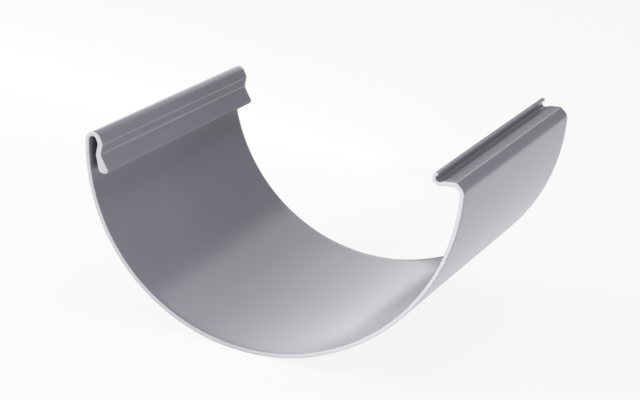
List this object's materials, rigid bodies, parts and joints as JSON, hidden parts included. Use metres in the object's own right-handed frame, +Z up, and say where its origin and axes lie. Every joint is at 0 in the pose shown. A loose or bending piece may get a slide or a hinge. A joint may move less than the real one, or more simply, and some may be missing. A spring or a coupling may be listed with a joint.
{
  "type": "gutter union",
  "caption": "Half-round plastic gutter union: a curved shell with a clip-over bead on one rim and an upturned hook on the other.",
  "frame": {"origin": "middle of the footprint at floor level, halfway along the run, under the half-round belly", "axes": "+X across the gutter from the bead rim to the hook rim, +Y along the gutter, +Z up as the loose part lies, rolled 7.3 degrees towards its heavier bead rim"},
  "size_m": [0.1356, 0.13, 0.0785],
  "materials": {
    "pvc_grey": "satin extruded grey PVC"
  },
  "bodies": {
    "root": {"union_shell": "pvc_grey"}
  },
  "joints": []
}
